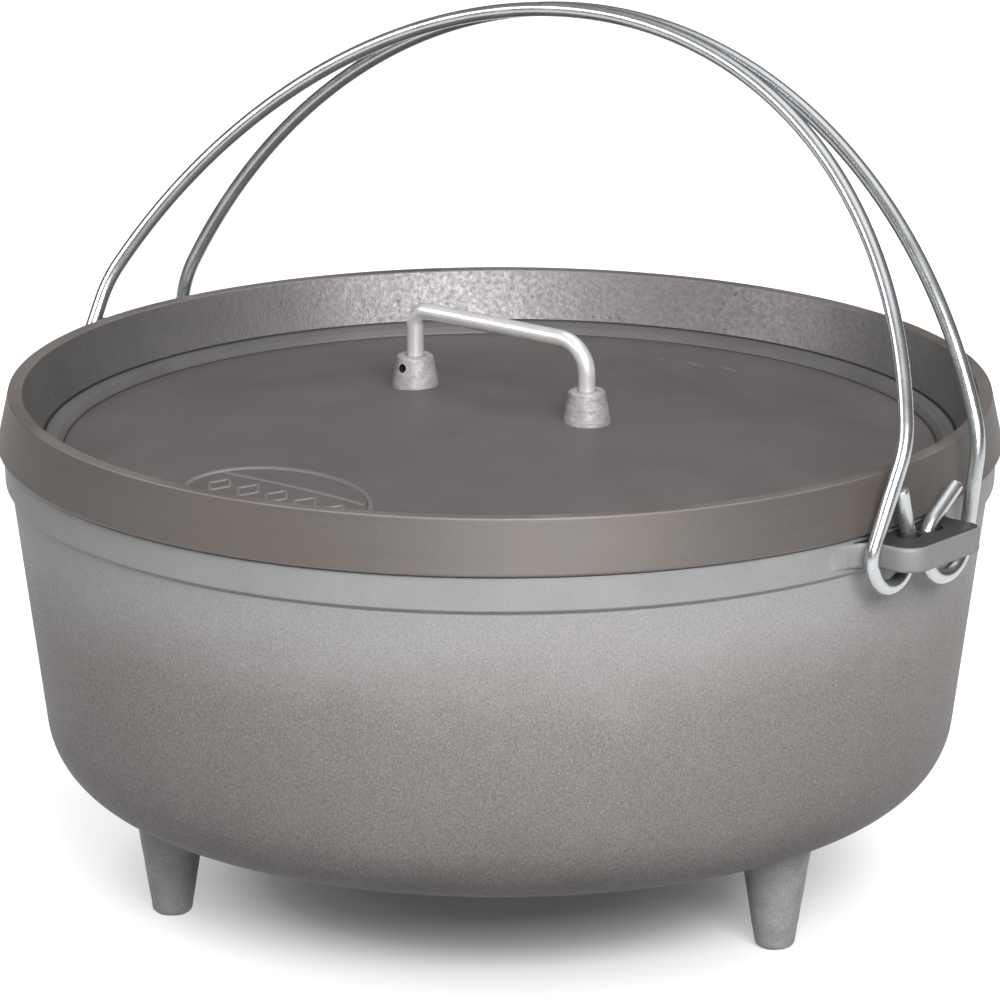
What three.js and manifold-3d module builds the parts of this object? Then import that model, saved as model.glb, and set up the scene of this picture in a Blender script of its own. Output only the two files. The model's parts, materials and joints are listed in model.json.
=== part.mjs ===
// A camp dutch oven: a cast pot on three legs, a rimmed lid with a rod handle, and two wire bails.
//
// Millimetres, +Z up. The origin is on the ground, on the pot's axis. +X runs along the line
// of the two ears that the bails hang from, and -Y is the front.

import * as THREE from "three";
import { mergeVertices } from "three/addons/utils/BufferGeometryUtils.js";
import Module from "manifold-3d";

// ---- Driving dimensions ------------------------------------------------------------------

const GAP = 0.3; // between two pieces that touch on the real object
const ROUND_SEGMENTS = 72;

// Pot
const POT_FLOOR_Z = 37.5;
const POT_FLOOR_THICK = 5;
const POT_CORNER_RADIUS = 26;
const POT_WALL_SLOPE = 0.128; // radius gained per mm of height
const POT_WALL_TOP_RADIUS = 164.5;
const POT_WALL_TOP_Z = 142;
const BAND_RADIUS = 166.8;
const BAND_BOTTOM_Z = 143.7;
const BAND_TOP_Z = 154.9;
const MOUTH_OUTER_RADIUS = 164;
const MOUTH_INNER_RADIUS = 160.4;
const MOUTH_Z = 161;
const CAVITY_FLOOR_RADIUS = 148.2; // where the inner wall would meet the inner floor
const CAVITY_CORNER_RADIUS = 21;

// Ears, each one cast with the pot
const EAR_REACH = 186;
const EAR_HALF_WIDTH = 19.9;
const EAR_ROOT_HALF_WIDTH = 28;
const EAR_ROOT_X = 161;
const EAR_FLARE_X = 169;
const EAR_CORNER_RADIUS = 8;
const EAR_BOTTOM_Z = 145;
const EAR_TOP_Z = 153.4;
const EAR_HOLE_CLEARANCE = 0.9;

// Legs
const LEG_CIRCLE_RADIUS = 118;
const LEG_FOOT_RADIUS = 6.8;
const LEG_TOP_RADIUS = 12.4;
const LEG_STEM_RADIUS = 4.5;
const LEG_HEAD_RADIUS = 7.5;
const LEG_HEAD_THICK = 2.6;

// Lid
const LID_TOP_Z = 173.4;
const LID_OUTER_RADIUS = 165;
const LID_LIP_WIDTH = 4.5;
const SKIRT_FOOT_RADIUS = 169;
const SKIRT_FOOT_Z = 155.3;
const SKIRT_INNER_RADIUS = 164.6;
const RIM_FOOT_RADIUS = 154;
const RIM_FOOT_Z = 156.5;
const DISC_RADIUS = 147;
const DISC_EDGE_Z = 153;
const DOME_TOP_Z = 167.4;
const LID_THICK = 4.6;
const PLUG_RADIUS = 159.4;

// Lid handle, its bosses and its pins
const POST_X = 37.3;
const BOSS_BASE_RADIUS = 8;
const BOSS_TOP_RADIUS = 6.2;
const BOSS_TOP_Z = 177.2;
const BOSS_STEM_RADIUS = 3;
const BOSS_HEAD_RADIUS = 5.4;
const BOSS_HEAD_THICK = 1.8;
const HANDLE_ROD_RADIUS = 2.9;
const HANDLE_BAR_Z = 193.1;
const HANDLE_LEFT_BEND_RADIUS = 5.5;
const HANDLE_RIGHT_BEND_RADIUS = 11;
const HANDLE_FOOT_Z = 170;
const PIN_RADIUS = 1.2;
const PIN_Z = 173.6;
const PIN_NEAR_END = 5.2;
const PIN_FAR_END = 4.2;

// Bails
const WIRE_RADIUS = 2.5;
const WIRE_SIDES = 8;
const WIRE_STEPS = 150;
const EYE_OVERRUN = THREE.MathUtils.degToRad(44); // how far the eye turns past a half circle
const BAIL_HALF_SPAN = 173;
const KINK_LENGTH = 7;

// Each bail: y and z place the centre of its eyes, which is also its hinge line; lean is the
// angle past upright at which it rests, towards the rear.
const FRONT_BAIL = {
  outward: -1, y: -14.6, z: 148.4, eyeRadius: 10.2, stubLength: 19,
  legLength: 33.6, crownHeight: 157.6, lean: THREE.MathUtils.degToRad(28.6),
};
const REAR_BAIL = {
  outward: 1, y: 15.3, z: 146.6, eyeRadius: 11.5, stubLength: 15,
  legLength: 32.8, crownHeight: 150, lean: THREE.MathUtils.degToRad(11.8),
};

const castWall = new THREE.MeshStandardMaterial({ color: 0x8f8b89, roughness: 0.55, metalness: 0.7 });
const castLid = new THREE.MeshStandardMaterial({ color: 0x6b6664, roughness: 0.5, metalness: 0.7 });
const roughCast = new THREE.MeshStandardMaterial({ color: 0xa09c9a, roughness: 0.7, metalness: 0.8 });
const brightRod = new THREE.MeshStandardMaterial({ color: 0xcfccc8, roughness: 0.3, metalness: 1 });
const platedWire = new THREE.MeshStandardMaterial({ color: 0xd8dbdc, roughness: 0.15, metalness: 1 });

const wasm = await Module();
wasm.setup();

// ---- Helpers -----------------------------------------------------------------------------

function toSolid(geometry) {
  const bare = geometry.index ? geometry.toNonIndexed() : geometry.clone();
  bare.deleteAttribute("normal");
  bare.deleteAttribute("uv");
  const merged = mergeVertices(bare, 1e-4);
  return new wasm.Manifold(new wasm.Mesh({
    numProp: 3,
    vertProperties: new Float32Array(merged.attributes.position.array),
    triVerts: new Uint32Array(merged.index.array),
  }));
}

function toGeometry(solid) {
  const mesh = solid.getMesh();
  const geometry = new THREE.BufferGeometry();
  geometry.setAttribute("position", new THREE.BufferAttribute(mesh.vertProperties, 3));
  geometry.setIndex(new THREE.BufferAttribute(mesh.triVerts, 1));
  geometry.computeVertexNormals();
  return geometry;
}

function part(name, solid, material) {
  const mesh = new THREE.Mesh(toGeometry(solid), material);
  mesh.name = name;
  return mesh;
}

// Turns an outline of [radius, height] points about the Z axis.
function turned(outline, segments = ROUND_SEGMENTS) {
  const points = outline.map(([radius, height]) => new THREE.Vector2(radius, height));
  const geometry = new THREE.LatheGeometry(points, segments);
  geometry.rotateX(Math.PI / 2);
  return toSolid(geometry);
}

function roundArc(centreRadius, centreZ, arcRadius, fromAngle, toAngle, steps) {
  const points = [];
  for (let i = 0; i <= steps; i += 1) {
    const angle = fromAngle + ((toAngle - fromAngle) * i) / steps;
    points.push([centreRadius + arcRadius * Math.cos(angle), centreZ + arcRadius * Math.sin(angle)]);
  }
  return points;
}

function roundBar(radius, fromZ, toZ, segments = 24) {
  const geometry = new THREE.CylinderGeometry(radius, radius, toZ - fromZ, segments);
  geometry.rotateX(Math.PI / 2);
  geometry.translate(0, 0, (fromZ + toZ) / 2);
  return toSolid(geometry);
}

// A round section swept along a path.
function swept(path, radius, sides, steps) {
  const section = new THREE.Shape();
  for (let i = 0; i < sides; i += 1) {
    const angle = (2 * Math.PI * i) / sides;
    const x = radius * Math.cos(angle);
    const y = radius * Math.sin(angle);
    if (i === 0) {
      section.moveTo(x, y);
    } else {
      section.lineTo(x, y);
    }
  }
  section.closePath();
  return toSolid(new THREE.ExtrudeGeometry(section, { steps, bevelEnabled: false, extrudePath: path }));
}

// A circular arc in space: centre + radius * (cos * across + sin * along).
class SpaceArc extends THREE.Curve {
  constructor(centre, across, along, radius, fromAngle, toAngle) {
    super();
    Object.assign(this, { centre, across, along, radius, fromAngle, toAngle });
  }

  getPoint(t, target = new THREE.Vector3()) {
    const angle = this.fromAngle + (this.toAngle - this.fromAngle) * t;
    return target.copy(this.centre)
      .addScaledVector(this.across, this.radius * Math.cos(angle))
      .addScaledVector(this.along, this.radius * Math.sin(angle));
  }
}

// ---- Pot ---------------------------------------------------------------------------------

function wallRadius(z) {
  return POT_WALL_TOP_RADIUS + POT_WALL_SLOPE * (z - POT_WALL_TOP_Z);
}

// Centre radius of a corner arc that touches the floor and a wall sloping outward.
function cornerCentreRadius(wallRadiusAtCentre, slope, cornerRadius) {
  return wallRadiusAtCentre - cornerRadius * Math.hypot(1, slope);
}

function potOutline() {
  const outerCentreZ = POT_FLOOR_Z + POT_CORNER_RADIUS;
  const outerCentre = cornerCentreRadius(wallRadius(outerCentreZ), POT_WALL_SLOPE, POT_CORNER_RADIUS);
  const innerFloorZ = POT_FLOOR_Z + POT_FLOOR_THICK;
  const innerCentreZ = innerFloorZ + CAVITY_CORNER_RADIUS;
  const innerSlope = (MOUTH_INNER_RADIUS - CAVITY_FLOOR_RADIUS) / (MOUTH_Z - innerFloorZ);
  const innerRadius = CAVITY_FLOOR_RADIUS + innerSlope * CAVITY_CORNER_RADIUS;
  const innerCentre = cornerCentreRadius(innerRadius, innerSlope, CAVITY_CORNER_RADIUS);
  const wallTilt = -Math.atan(POT_WALL_SLOPE);
  const cavityTilt = -Math.atan(innerSlope);
  return [
    [0, POT_FLOOR_Z],
    ...roundArc(outerCentre, outerCentreZ, POT_CORNER_RADIUS, -Math.PI / 2, wallTilt, 8),
    [POT_WALL_TOP_RADIUS, POT_WALL_TOP_Z],
    [BAND_RADIUS - 0.3, BAND_BOTTOM_Z],
    [BAND_RADIUS, BAND_TOP_Z - 0.7],
    [BAND_RADIUS - 0.7, BAND_TOP_Z],
    [MOUTH_OUTER_RADIUS, BAND_TOP_Z],
    [MOUTH_OUTER_RADIUS, MOUTH_Z - 0.6],
    [MOUTH_OUTER_RADIUS - 0.6, MOUTH_Z],
    [MOUTH_INNER_RADIUS + 0.6, MOUTH_Z],
    [MOUTH_INNER_RADIUS, MOUTH_Z - 0.6],
    ...roundArc(innerCentre, innerCentreZ, CAVITY_CORNER_RADIUS, cavityTilt, -Math.PI / 2, 6),
    [0, innerFloorZ],
  ];
}

function earPlan() {
  const plan = new THREE.Shape();
  const cornerX = EAR_REACH - EAR_CORNER_RADIUS;
  const cornerY = EAR_HALF_WIDTH - EAR_CORNER_RADIUS;
  plan.moveTo(EAR_ROOT_X, -EAR_ROOT_HALF_WIDTH);
  plan.quadraticCurveTo(EAR_FLARE_X - 3, -EAR_HALF_WIDTH - 2, EAR_FLARE_X, -EAR_HALF_WIDTH);
  plan.lineTo(cornerX, -EAR_HALF_WIDTH);
  plan.absarc(cornerX, -cornerY, EAR_CORNER_RADIUS, -Math.PI / 2, 0, false);
  plan.absarc(cornerX, cornerY, EAR_CORNER_RADIUS, 0, Math.PI / 2, false);
  plan.lineTo(EAR_FLARE_X, EAR_HALF_WIDTH);
  plan.quadraticCurveTo(EAR_FLARE_X - 3, EAR_HALF_WIDTH + 2, EAR_ROOT_X, EAR_ROOT_HALF_WIDTH);
  plan.closePath();
  return plan;
}

// The eye's wire curves inside the hole, so the hole spans the wire's reach from the hinge
// line at the hinge's own height, where it is largest, and at the ear's top, where it is least.
function earHole(bail) {
  const outer = bail.eyeRadius + WIRE_RADIUS;
  const inner = Math.sqrt((bail.eyeRadius - WIRE_RADIUS) ** 2 - (EAR_TOP_Z - bail.z) ** 2);
  return {
    y: bail.y - bail.outward * (outer + inner) / 2,
    radius: (outer - inner) / 2 + EAR_HOLE_CLEARANCE,
  };
}

function rightEar() {
  const height = EAR_TOP_Z - EAR_BOTTOM_Z;
  const geometry = new THREE.ExtrudeGeometry(earPlan(), {
    depth: height, bevelEnabled: false, curveSegments: 5,
  });
  geometry.translate(0, 0, EAR_BOTTOM_Z);
  let ear = toSolid(geometry);
  for (const bail of [FRONT_BAIL, REAR_BAIL]) {
    const hole = earHole(bail);
    const drill = roundBar(hole.radius, EAR_BOTTOM_Z - 1, EAR_TOP_Z + 1, 20);
    ear = ear.subtract(drill.translate([BAIL_HALF_SPAN, hole.y, 0]));
  }
  return ear;
}

function legAngles() {
  return [0, -120, 120].map((degrees) => THREE.MathUtils.degToRad(degrees));
}

function makePot() {
  let pot = turned(potOutline());
  const ear = rightEar();
  pot = pot.add(ear).add(ear.rotate([0, 0, 180]));
  for (const angle of legAngles()) {
    const drill = roundBar(LEG_STEM_RADIUS + GAP, POT_FLOOR_Z - 1, POT_FLOOR_Z + POT_FLOOR_THICK + 1, 16);
    const x = LEG_CIRCLE_RADIUS * Math.cos(angle);
    const y = LEG_CIRCLE_RADIUS * Math.sin(angle);
    pot = pot.subtract(drill.translate([x, y, 0]));
  }
  return part("pot", pot, castWall);
}

// ---- Legs --------------------------------------------------------------------------------

function legOutline() {
  const topZ = POT_FLOOR_Z - GAP;
  const headZ = POT_FLOOR_Z + POT_FLOOR_THICK + GAP;
  return [
    [0, 0],
    [LEG_FOOT_RADIUS - 1.8, 0],
    [LEG_FOOT_RADIUS - 0.5, 0.6],
    [LEG_FOOT_RADIUS, 2],
    [LEG_TOP_RADIUS - 1, topZ - 5],
    [LEG_TOP_RADIUS, topZ],
    [LEG_STEM_RADIUS, topZ],
    [LEG_STEM_RADIUS, headZ],
    [LEG_HEAD_RADIUS, headZ],
    [LEG_HEAD_RADIUS - 1, headZ + LEG_HEAD_THICK * 0.7],
    [LEG_HEAD_RADIUS - 3.5, headZ + LEG_HEAD_THICK],
    [0, headZ + LEG_HEAD_THICK],
  ];
}

function makeLegs() {
  const names = ["leg_right", "leg_front_left", "leg_rear"];
  return legAngles().map((angle, i) => {
    const leg = part(names[i], turned(legOutline(), 24), roughCast);
    leg.position.set(LEG_CIRCLE_RADIUS * Math.cos(angle), LEG_CIRCLE_RADIUS * Math.sin(angle), 0);
    return leg;
  });
}

// ---- Lid ---------------------------------------------------------------------------------

// The disc is part of a sphere, highest on the axis.
function domeZ(radius) {
  const rise = DOME_TOP_Z - DISC_EDGE_Z;
  const sphere = (DISC_RADIUS ** 2 + rise ** 2) / (2 * rise);
  return DOME_TOP_Z - sphere + Math.sqrt(sphere ** 2 - radius ** 2);
}

function domePoints(steps, drop) {
  const points = [];
  for (let i = 0; i <= steps; i += 1) {
    const radius = (DISC_RADIUS * i) / steps;
    points.push([radius, domeZ(radius) - drop]);
  }
  return points;
}

function lidOutline() {
  const seatZ = MOUTH_Z + GAP;
  return [
    ...domePoints(6, LID_THICK),
    [RIM_FOOT_RADIUS, RIM_FOOT_Z - LID_THICK],
    [PLUG_RADIUS - 1.5, RIM_FOOT_Z - LID_THICK + 2.2],
    [PLUG_RADIUS, seatZ],
    [SKIRT_INNER_RADIUS, seatZ],
    [SKIRT_INNER_RADIUS, SKIRT_FOOT_Z + 0.6],
    [SKIRT_INNER_RADIUS + 0.6, SKIRT_FOOT_Z],
    [SKIRT_FOOT_RADIUS - 1, SKIRT_FOOT_Z],
    [SKIRT_FOOT_RADIUS, SKIRT_FOOT_Z + 1],
    [LID_OUTER_RADIUS + 0.1, LID_TOP_Z - 0.5],
    [LID_OUTER_RADIUS - 0.5, LID_TOP_Z],
    [LID_OUTER_RADIUS - LID_LIP_WIDTH + 0.5, LID_TOP_Z],
    [LID_OUTER_RADIUS - LID_LIP_WIDTH, LID_TOP_Z - 0.5],
    [RIM_FOOT_RADIUS, RIM_FOOT_Z],
    ...domePoints(6, 0).reverse(),
  ];
}

function makeLid() {
  let lid = turned(lidOutline());
  for (const side of [-1, 1]) {
    const drill = roundBar(BOSS_STEM_RADIUS + GAP, DISC_EDGE_Z, DOME_TOP_Z + 1, 16);
    lid = lid.subtract(drill.translate([side * POST_X, 0, 0]));
  }
  return part("lid", lid, castLid);
}

// ---- Lid handle --------------------------------------------------------------------------

// Everything under the dome's surface, raised by the gap, to shape a boss's foot.
function domeTool() {
  return turned([[0, DISC_EDGE_Z - 10], [DISC_RADIUS, DISC_EDGE_Z - 10], ...domePoints(6, -GAP).reverse()]);
}

function makeBoss(name, side, pinSide, dome) {
  const cone = turned([
    [0, domeZ(POST_X) - 2],
    [BOSS_BASE_RADIUS, domeZ(POST_X) - 2],
    [BOSS_BASE_RADIUS, domeZ(POST_X)],
    [BOSS_TOP_RADIUS, BOSS_TOP_Z - 0.8],
    [BOSS_TOP_RADIUS - 0.8, BOSS_TOP_Z],
    [0, BOSS_TOP_Z],
  ], 24).translate([side * POST_X, 0, 0]);
  const headTopZ = domeZ(POST_X + BOSS_HEAD_RADIUS) - LID_THICK - GAP;
  const stem = turned([
    [0, headTopZ - BOSS_HEAD_THICK],
    [BOSS_HEAD_RADIUS - 1.2, headTopZ - BOSS_HEAD_THICK],
    [BOSS_HEAD_RADIUS, headTopZ - BOSS_HEAD_THICK / 2],
    [BOSS_HEAD_RADIUS, headTopZ],
    [BOSS_STEM_RADIUS, headTopZ],
    [BOSS_STEM_RADIUS, domeZ(POST_X) + 1.5],
    [0, domeZ(POST_X) + 1.5],
  ], 24).translate([side * POST_X, 0, 0]);
  const bore = roundBar(HANDLE_ROD_RADIUS + GAP, HANDLE_FOOT_Z - GAP, BOSS_TOP_Z + 1, 20);
  const crossHole = pinBar(PIN_RADIUS + GAP, BOSS_BASE_RADIUS + 1, PIN_FAR_END + GAP, side, pinSide);
  const boss = cone.subtract(dome).add(stem).subtract(bore.translate([side * POST_X, 0, 0]));
  return part(name, boss.subtract(crossHole), roughCast);
}

// A bar across a post, along Y. Its near end is on the side it is driven in from.
function pinBar(radius, nearEnd, farEnd, side, pinSide) {
  const geometry = new THREE.CylinderGeometry(radius, radius, nearEnd + farEnd, 12);
  geometry.translate(side * POST_X, (pinSide * (nearEnd - farEnd)) / 2, PIN_Z);
  return toSolid(geometry);
}

function handlePath() {
  const path = new THREE.CurvePath();
  const right = new THREE.Vector3(1, 0, 0);
  const up = new THREE.Vector3(0, 0, 1);
  const leftFoot = new THREE.Vector3(-POST_X, 0, HANDLE_FOOT_Z);
  const rightFoot = new THREE.Vector3(POST_X, 0, HANDLE_FOOT_Z);
  const leftBend = new THREE.Vector3(
    HANDLE_LEFT_BEND_RADIUS - POST_X, 0, HANDLE_BAR_Z - HANDLE_LEFT_BEND_RADIUS,
  );
  const rightBend = new THREE.Vector3(
    POST_X - HANDLE_RIGHT_BEND_RADIUS, 0, HANDLE_BAR_Z - HANDLE_RIGHT_BEND_RADIUS,
  );
  const leftArc = new SpaceArc(leftBend, right, up, HANDLE_LEFT_BEND_RADIUS, Math.PI, Math.PI / 2);
  const rightArc = new SpaceArc(rightBend, right, up, HANDLE_RIGHT_BEND_RADIUS, Math.PI / 2, 0);
  path.add(new THREE.LineCurve3(leftFoot, leftArc.getPoint(0)));
  path.add(leftArc);
  path.add(new THREE.LineCurve3(leftArc.getPoint(1), rightArc.getPoint(0)));
  path.add(rightArc);
  path.add(new THREE.LineCurve3(rightArc.getPoint(1), rightFoot));
  return path;
}

function makeHandle() {
  let rod = swept(handlePath(), HANDLE_ROD_RADIUS, 12, 44);
  for (const side of [-1, 1]) {
    const reach = BOSS_BASE_RADIUS;
    rod = rod.subtract(pinBar(PIN_RADIUS + GAP, reach, reach, side, 1));
  }
  return part("lid_handle", rod, brightRod);
}

// The left pin is driven in from the front and the right one from the rear.
function makeLidHandleGroup() {
  const dome = domeTool();
  const group = new THREE.Group();
  group.add(makeHandle());
  for (const [word, side, pinSide] of [["left", -1, -1], ["right", 1, 1]]) {
    group.add(makeBoss(`lid_boss_${word}`, side, pinSide, dome));
    const pin = pinBar(PIN_RADIUS, PIN_NEAR_END, PIN_FAR_END, side, pinSide);
    group.add(part(`handle_pin_${word}`, pin, brightRod));
  }
  return group;
}

// ---- Bails -------------------------------------------------------------------------------

// The eye and stub at one end of a bail, with the straight leg above them, as curves running
// from the stub's end to the kink. Heights are measured from the hinge line.
function eyeCurves(bail, endX) {
  const centre = new THREE.Vector3(endX, 0, 0);
  const across = new THREE.Vector3(0, bail.outward, 0);
  const up = new THREE.Vector3(0, 0, 1);
  const lastAngle = -(Math.PI + EYE_OVERRUN);
  const eye = new SpaceArc(centre, across, up, bail.eyeRadius, lastAngle, 0);
  const eyeStart = eye.getPoint(0);
  const stubEnd = eyeStart.clone()
    .addScaledVector(across, bail.stubLength * Math.sin(EYE_OVERRUN))
    .addScaledVector(up, bail.stubLength * Math.cos(EYE_OVERRUN));
  const legFoot = new THREE.Vector3(endX, bail.outward * bail.eyeRadius, 0);
  const legTop = legFoot.clone().setZ(bail.legLength - KINK_LENGTH);
  return [new THREE.LineCurve3(stubEnd, eyeStart), eye, new THREE.LineCurve3(legFoot, legTop)];
}

// The same curves run the other way, for the bail's second end.
function reversed(curves) {
  return [...curves].reverse().map((curve) => {
    if (curve.isLineCurve3) {
      return new THREE.LineCurve3(curve.v2, curve.v1);
    }
    return new SpaceArc(
      curve.centre, curve.across, curve.along, curve.radius, curve.toAngle, curve.fromAngle,
    );
  });
}

function kink(bail, endX, archPoint) {
  const corner = new THREE.Vector3(endX, bail.outward * bail.eyeRadius, bail.legLength);
  const legTop = corner.clone().setZ(bail.legLength - KINK_LENGTH);
  return new THREE.QuadraticBezierCurve3(legTop, corner, archPoint);
}

function bailPath(bail) {
  const rise = bail.crownHeight - bail.legLength;
  const archRadius = (BAIL_HALF_SPAN ** 2 + rise ** 2) / (2 * rise);
  const archCentre = new THREE.Vector3(
    0, bail.outward * bail.eyeRadius, bail.crownHeight - archRadius,
  );
  const right = new THREE.Vector3(1, 0, 0);
  const up = new THREE.Vector3(0, 0, 1);
  const springAngle = Math.asin((bail.legLength - archCentre.z) / archRadius);
  const startAngle = springAngle + KINK_LENGTH / archRadius;
  const arch = new SpaceArc(archCentre, right, up, archRadius, startAngle, Math.PI - startAngle);
  const path = new THREE.CurvePath();
  eyeCurves(bail, BAIL_HALF_SPAN).forEach((curve) => path.add(curve));
  path.add(kink(bail, BAIL_HALF_SPAN, arch.getPoint(0)));
  path.add(arch);
  const lastKink = kink(bail, -BAIL_HALF_SPAN, arch.getPoint(1));
  path.add(new THREE.QuadraticBezierCurve3(lastKink.v2, lastKink.v1, lastKink.v0));
  reversed(eyeCurves(bail, -BAIL_HALF_SPAN)).forEach((curve) => path.add(curve));
  return path;
}

function makeBail(name, bail) {
  const wire = swept(bailPath(bail), WIRE_RADIUS, WIRE_SIDES, WIRE_STEPS);
  const mesh = part(name, wire, platedWire);
  mesh.position.set(0, bail.y, bail.z);
  mesh.rotation.x = -bail.lean;
  return mesh;
}

// ---- Assembly ----------------------------------------------------------------------------

const group = new THREE.Group();
group.add(makePot());
group.add(...makeLegs());
group.add(makeLid());
group.add(makeLidHandleGroup());
group.add(makeBail("bail_front", FRONT_BAIL));
group.add(makeBail("bail_rear", REAR_BAIL));

export default group;
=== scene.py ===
"""Camp dutch oven: the visible pot, legs, lid, handle and bails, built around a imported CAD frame.

The file is laid out as an add-on and run as a script. Every size is in metres, in the frame's
own axes: the origin is on the ground on the pot's axis, +X runs to the right ear and -Y is the
front.
"""

import json
import math

import bmesh
import bpy
from mathutils import Matrix, Vector, noise


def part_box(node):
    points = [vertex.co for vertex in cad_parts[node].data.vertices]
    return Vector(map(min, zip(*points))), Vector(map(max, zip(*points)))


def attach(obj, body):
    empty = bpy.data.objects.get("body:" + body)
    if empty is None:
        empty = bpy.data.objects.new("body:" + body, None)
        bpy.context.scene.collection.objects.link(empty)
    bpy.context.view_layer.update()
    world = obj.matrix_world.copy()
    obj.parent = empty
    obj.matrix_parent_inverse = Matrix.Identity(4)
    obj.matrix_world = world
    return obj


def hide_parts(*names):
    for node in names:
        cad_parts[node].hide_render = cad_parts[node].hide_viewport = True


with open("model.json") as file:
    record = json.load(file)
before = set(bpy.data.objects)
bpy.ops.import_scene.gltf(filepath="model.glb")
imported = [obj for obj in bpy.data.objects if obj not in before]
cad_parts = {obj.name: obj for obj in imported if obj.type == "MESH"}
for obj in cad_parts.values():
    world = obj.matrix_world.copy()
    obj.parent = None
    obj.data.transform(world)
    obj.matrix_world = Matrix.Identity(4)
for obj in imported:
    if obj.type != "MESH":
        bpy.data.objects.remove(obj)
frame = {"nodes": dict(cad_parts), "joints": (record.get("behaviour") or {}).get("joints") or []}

bl_info = {
    "name": "Camp Dutch Oven",
    "version": (1, 0, 0),
    "blender": (4, 5, 0),
    "location": "View3D > Sidebar > Dutch Oven",
    "description": "Builds a cast pot on legs with a rimmed lid, a rod handle and wire bails",
    "category": "Add Mesh",
}

MM = 0.001
LOW, HIGH = 0, 1
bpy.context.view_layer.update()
POT_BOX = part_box("pot")
LID_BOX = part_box("lid")
JOINTS = {joint["name"]: joint for joint in frame["joints"]}


# ---- Settings ----


def length(name, default_mm, description):
    """A size property, given in millimetres and kept in metres."""
    return bpy.props.FloatProperty(
        name=name, description=description, default=default_mm * MM,
        min=0.0, unit="LENGTH", precision=5,
    )


def colour(name, default, description):
    return bpy.props.FloatVectorProperty(
        name=name, description=description, default=default,
        min=0.0, max=1.0, size=3, subtype="COLOR",
    )


def share(name, default, description):
    return bpy.props.FloatProperty(
        name=name, description=description, default=default,
        min=0.0, max=1.0, subtype="FACTOR",
    )


class PotSettings(bpy.types.PropertyGroup):
    floor_thickness: length("Floor thickness", 5.0, "Thickness of the pot's floor")
    corner_radius: length("Corner radius", 26.0, "Outside radius where the wall meets the floor")
    wall_top_radius: length("Wall top radius", 164.5, "Outside radius just under the band")
    wall_top_height: length("Wall top height", 142.0, "Height at which the band starts")
    band_radius: length("Band radius", 166.8, "Outside radius of the band under the lid")
    band_top_height: length("Band top height", 154.9, "Height of the shoulder under the skirt")
    mouth_radius: length("Mouth radius", 160.4, "Inside radius of the mouth")
    ear_half_width: length("Ear half width", 19.9, "Half of the width of each ear")
    ear_thickness: length("Ear thickness", 8.4, "Height of each ear's edge")
    # Painted light and shade: the wall's colours darken from the band down to the floor, standing
    # in for how the light falls on the wall.
    wall_top_lit_colour: colour("Upper wall", (0.335, 0.325, 0.322), "Colour near the band")
    wall_middle_colour: colour("Middle wall", (0.235, 0.218, 0.211), "Colour halfway up")
    wall_bottom_shade_colour: colour("Lower wall", (0.152, 0.141, 0.137), "Colour near the floor")
    band_colour: colour("Band", (0.30, 0.30, 0.304), "Colour of the blasted band")
    # Painted shade: the ear tops, just under the lid's skirt, are coloured near black, standing in
    # for the shade and dark reflection there.
    ear_top_shade_colour: colour("Ear top", (0.050, 0.049, 0.051), "Colour of the tops of the ears")
    ear_edge_colour: colour("Ear edge", (0.245, 0.242, 0.245), "Colour of the sides of the ears")
    inside_colour: colour("Inside", (0.16, 0.152, 0.148), "Colour of the cooking surface")
    grain_size: length("Grain size", 0.60, "Size of the grains of the blasted wall")


class LegSettings(bpy.types.PropertyGroup):
    foot_radius: length("Foot radius", 6.8, "Radius of a leg just above its foot")
    top_radius: length("Top radius", 12.4, "Radius of a leg where it meets the pot")
    cast_colour: colour("Raw casting", (0.285, 0.282, 0.286), "Colour of the raw cast legs")


class LidSettings(bpy.types.PropertyGroup):
    thickness: length("Plate thickness", 4.6, "Thickness of the lid's plate")
    lip_width: length("Lip width", 4.5, "Width of the flat top of the rim")
    disc_radius: length("Disc radius", 147.0, "Radius of the domed disc")
    dome_rise: length("Dome rise", 14.4, "How far the middle of the disc stands over its edge")
    disc_colour: colour("Disc", (0.118, 0.108, 0.106), "Colour of the domed disc")
    rim_colour: colour("Rim wall", (0.185, 0.174, 0.176), "Colour of the rim's inner wall")
    skirt_colour: colour("Skirt", (0.133, 0.121, 0.114), "Colour of the skirt's outside")
    medallion_half_width: length("Medallion half width", 36.0, "Half of the oval's longer side")
    medallion_half_depth: length("Medallion half depth", 21.0, "Half of the oval's shorter side")


class HandleSettings(bpy.types.PropertyGroup):
    rod_radius: length("Rod radius", 2.9, "Radius of the handle's rod")
    left_bend: length("Left bend radius", 5.5, "Radius of the left bend")
    right_bend: length("Right bend radius", 11.0, "Radius of the right bend")
    boss_colour: colour("Boss", (0.36, 0.35, 0.345), "Colour of the raw cast bosses")
    rod_colour: colour("Rod", (0.80, 0.79, 0.775), "Colour of the bead blasted rod")


class BailSettings(bpy.types.PropertyGroup):
    wire_radius: length("Wire radius", 2.5, "Radius of the bail wire")
    kink_length: length("Kink length", 7.0, "Length of wire bent either side of its corner")
    wire_colour: colour("Wire", (0.47, 0.485, 0.495), "Colour of the plated wire")


class StageSettings(bpy.types.PropertyGroup):
    floor_colour: colour("Floor", (0.45, 0.45, 0.45), "Colour of the floor")
    sky_strength: share("Sky strength", 0.8, "Strength of the soft light from all round")
    key_power: bpy.props.FloatProperty(
        name="Key power", description="Power of the large soft light",
        default=125.0, min=0.0, unit="POWER",
    )


SETTINGS = {
    "oven_pot": PotSettings,
    "oven_legs": LegSettings,
    "oven_lid": LidSettings,
    "oven_handle": HandleSettings,
    "oven_bails": BailSettings,
    "oven_stage": StageSettings,
}


# ---- Outlines ----


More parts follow.
